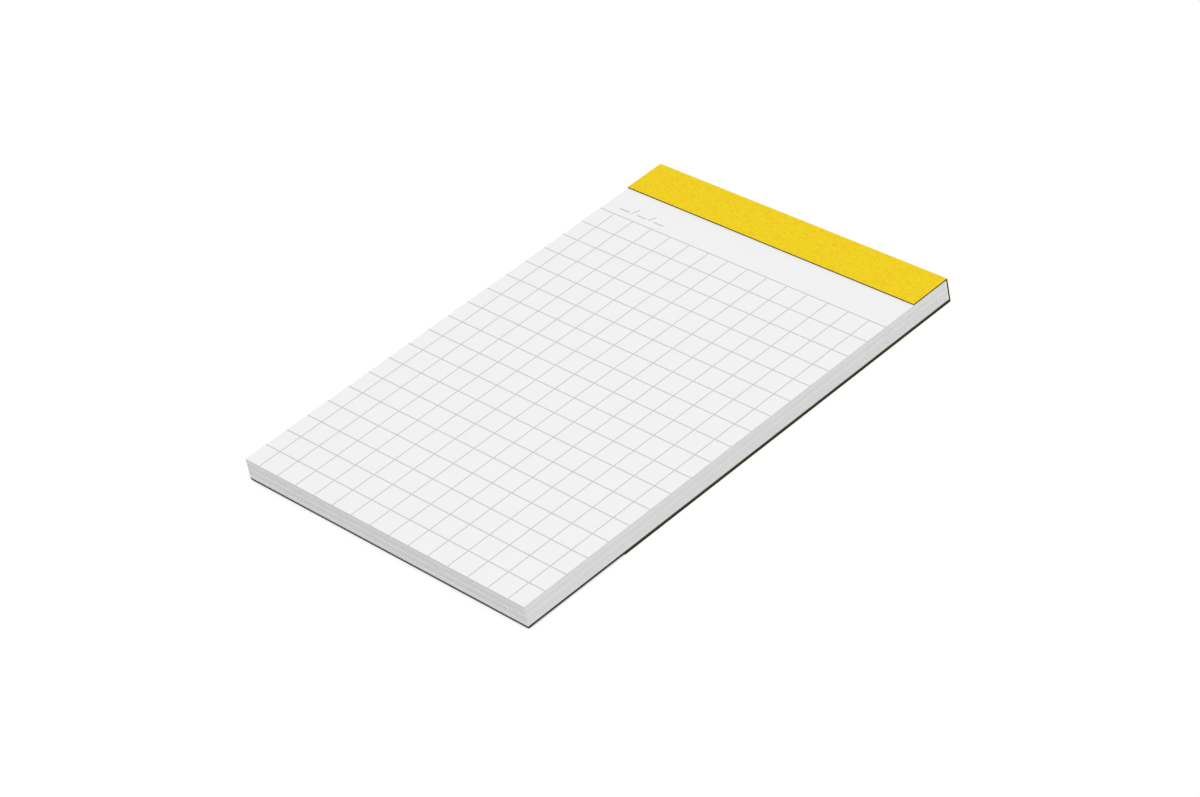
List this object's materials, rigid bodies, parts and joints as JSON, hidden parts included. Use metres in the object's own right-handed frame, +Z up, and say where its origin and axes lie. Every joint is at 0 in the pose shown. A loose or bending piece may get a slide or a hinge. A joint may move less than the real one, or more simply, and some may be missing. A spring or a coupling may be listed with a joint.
{
  "type": "legal pad",
  "caption": "Small gummed writing pad of squared paper on a backing board, with a folded card band over its head.",
  "frame": {"origin": "middle of the rectangle that the pad covers, on the surface that it lies on", "axes": "+X to the pad's right, +Y from the foot to the head, +Z up out of the page"},
  "size_m": [0.0728, 0.1068, 0.0052],
  "materials": {
    "sheets": "matt",
    "glue": "satin",
    "board": "matt",
    "card": "matt"
  },
  "bodies": {
    "root": {"paper_block": "sheets", "padding_glue": "glue", "backing_board": "board", "cover_card": "card"}
  },
  "joints": []
}
